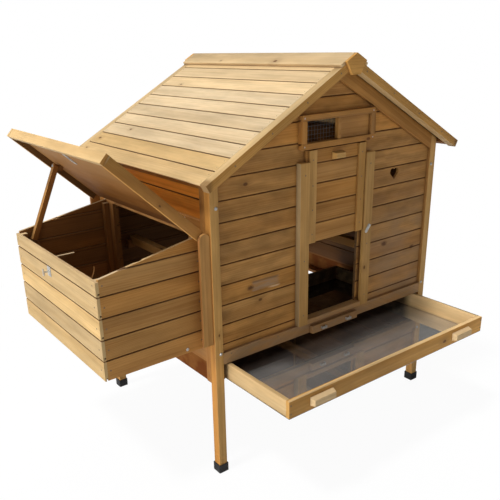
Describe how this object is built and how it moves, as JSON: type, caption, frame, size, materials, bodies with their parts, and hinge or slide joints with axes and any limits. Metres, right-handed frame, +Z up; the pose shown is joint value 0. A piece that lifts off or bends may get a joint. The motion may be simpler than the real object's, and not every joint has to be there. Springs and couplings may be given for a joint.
{
  "type": "raised chicken coop",
  "caption": "Raised wooden hen house on legs with a pitched roof, lifting pop door, sliding vent, lidded nest box on one side and a pull-out cleaning tray.",
  "frame": {"origin": "middle of the whole object's footprint, on the ground under the foot caps", "axes": "+Z up, the gable with the pop door faces -Y, the nest box is on the -X side"},
  "size_m": [1.409, 1.116, 1.291],
  "materials": {
    "fir": "clear stained",
    "roof_fir": "clear stained",
    "zinc": "zinc plated",
    "black_plastic": "matt",
    "mesh_wire": "matt",
    "tray_metal": "bright"
  },
  "bodies": {
    "house": {"leg_front_left": "fir", "leg_front_right": "fir", "leg_back_left": "fir", "leg_back_right": "fir", "foot_caps": "black_plastic", "front_boards": "fir", "back_boards": "fir", "left_boards": "fir", "right_boards": "fir", "front_wall_frame": "fir", "back_wall_frame": "fir", "left_wall_frame": "fir", "right_wall_frame": "fir", "side_aprons": "fir", "nest_jambs": "fir", "door_guide_left": "fir", "door_guide_right": "fir", "door_sill": "fir", "ramp_bar": "fir", "ramp_staples": "zinc", "vent_frame": "fir", "vent_mesh": "mesh_wire", "roof_boards_left": "roof_fir", "roof_boards_right": "roof_fir", "roof_battens": "fir", "bargeboards_front": "roof_fir", "bargeboards_back": "roof_fir", "ridge_caps": "roof_fir", "ridge_plates": "roof_fir", "tray_runners": "fir", "perches": "fir", "perch_brackets": "fir", "nest_outer_boards": "fir", "nest_front_boards": "fir", "nest_back_boards": "fir", "nest_floor": "fir", "nest_battens": "fir", "nest_divider": "fir", "prop_rest": "fir", "hinge_wall_leaves": "zinc", "hinge_pins": "zinc", "latch_plate": "zinc", "catch_screw": "zinc"},
    "lid": {"lid_boards": "roof_fir", "lid_fascias": "roof_fir", "hinge_lid_leaves": "zinc", "prop_block": "fir", "prop_screw": "zinc", "hasp_leaf": "zinc"},
    "prop": {"lid_prop": "fir"},
    "hasp": {"hasp_strap": "zinc"},
    "turn_eye": {"turn_eye": "zinc"},
    "door": {"door_boards": "fir", "door_stiles": "fir", "door_grip": "fir"},
    "door_catch": {"door_catch": "zinc"},
    "vent_cover": {"vent_cover": "fir"},
    "tray": {"tray_frame": "fir", "tray_sheet": "tray_metal", "tray_grips": "fir"}
  },
  "joints": [
    {"name": "nest_lid", "type": "hinge", "parent": "house", "child": "lid", "pos_m": [-0.3475, 0.12, 0.818], "axis": [0, -1, 0], "range_deg": [0, 53]},
    {"name": "prop_fold", "type": "hinge", "parent": "lid", "child": "prop", "pos_m": [-0.52623, 0.405, 0.95185], "axis": [-0.9109, 0, 0.4127], "range_deg": [0, 90]},
    {"name": "hasp_swing", "type": "hinge", "parent": "lid", "child": "hasp", "pos_m": [-0.61779, 0.15, 1.05296], "axis": [0, 1, 0], "range_deg": [0, 100]},
    {"name": "turn_eye_turn", "type": "hinge", "parent": "house", "child": "turn_eye", "pos_m": [-0.6835, 0.15, 0.6806], "axis": [1, 0, 0], "range_deg": [0, 90]},
    {"name": "pop_door_slide", "type": "slide", "parent": "house", "child": "door", "axis": [0, 0, -1], "range_m": [0, 0.262]},
    {"name": "door_catch_turn", "type": "hinge", "parent": "house", "child": "door_catch", "pos_m": [0.308, -0.261, 0.72608], "axis": [0, 1, 0], "range_deg": [-34, 56]},
    {"name": "vent_cover_slide", "type": "slide", "parent": "house", "child": "vent_cover", "axis": [-1, 0, 0], "range_m": [0, 0.13]},
    {"name": "tray_slide", "type": "slide", "parent": "house", "child": "tray", "axis": [0, 1, 0], "range_m": [-0.3, 0.288]}
  ],
  "couplings": [
    {"joint": "prop_fold", "follows": "nest_lid", "ratio": 1.6981}
  ]
}
